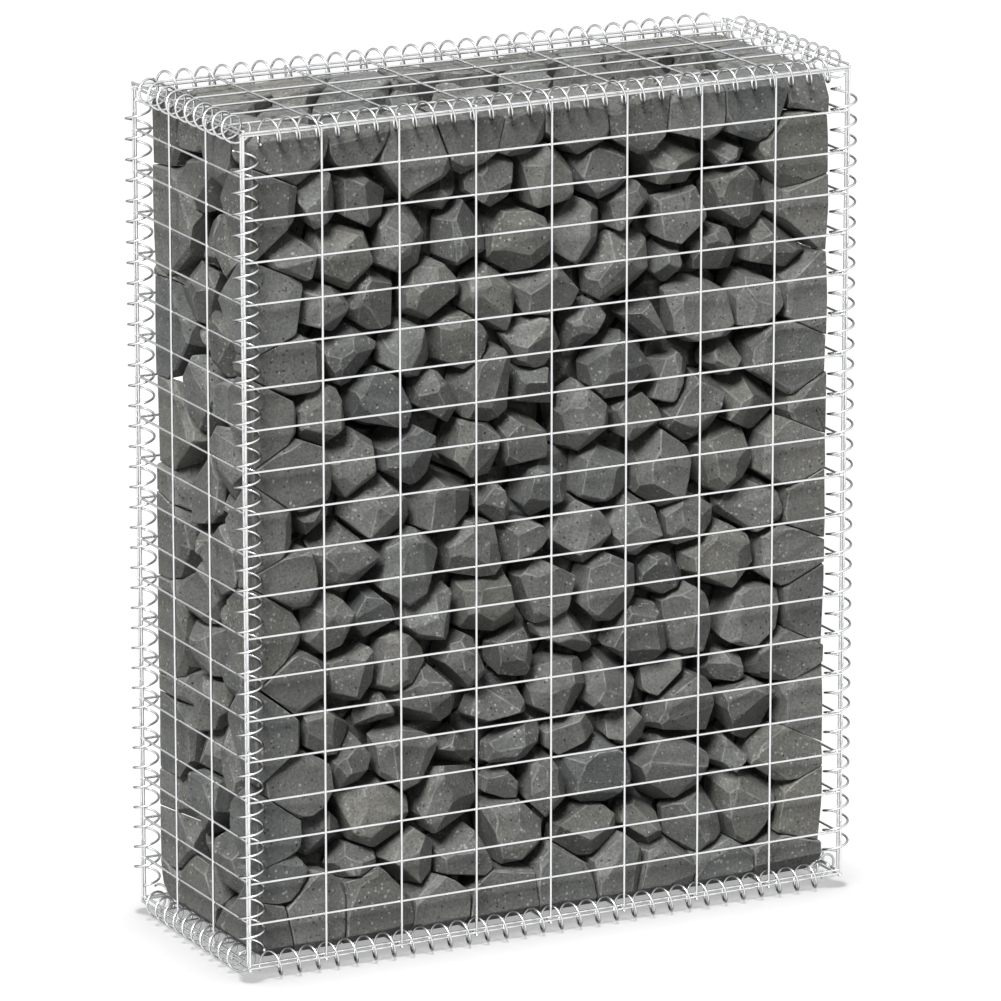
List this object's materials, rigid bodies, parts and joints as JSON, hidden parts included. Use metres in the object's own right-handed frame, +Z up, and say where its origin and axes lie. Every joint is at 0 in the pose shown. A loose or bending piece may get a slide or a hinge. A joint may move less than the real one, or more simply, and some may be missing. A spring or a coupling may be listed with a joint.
{
  "type": "gabion wall",
  "caption": "Free-standing gabion wall: welded steel mesh panels joined by spiral binders along every edge, holding a fill of broken dark stone.",
  "frame": {"origin": "on the ground under the middle of the wall, level with the lowest line of the base spirals", "axes": "+X along the wall, +Y from its front to its back, +Z up"},
  "size_m": [0.824, 0.324, 1.0368],
  "materials": {
    "mesh_wire": "galvanised, satin",
    "spiral_wire": "galvanised, satin",
    "stone": "rough broken basalt with pale specks"
  },
  "bodies": {
    "root": {"front_panel": "mesh_wire", "back_panel": "mesh_wire", "left_panel": "mesh_wire", "right_panel": "mesh_wire", "lid_panel": "mesh_wire", "base_panel": "mesh_wire", "spiral_front_left": "spiral_wire", "spiral_front_right": "spiral_wire", "spiral_back_left": "spiral_wire", "spiral_back_right": "spiral_wire", "spiral_lid_front": "spiral_wire", "spiral_lid_back": "spiral_wire", "spiral_lid_left": "spiral_wire", "spiral_lid_right": "spiral_wire", "spiral_base_front": "spiral_wire", "spiral_base_back": "spiral_wire", "spiral_base_left": "spiral_wire", "spiral_base_right": "spiral_wire", "stone_lift_low": "stone", "stone_lift_mid": "stone", "stone_lift_top": "stone"}
  },
  "joints": []
}
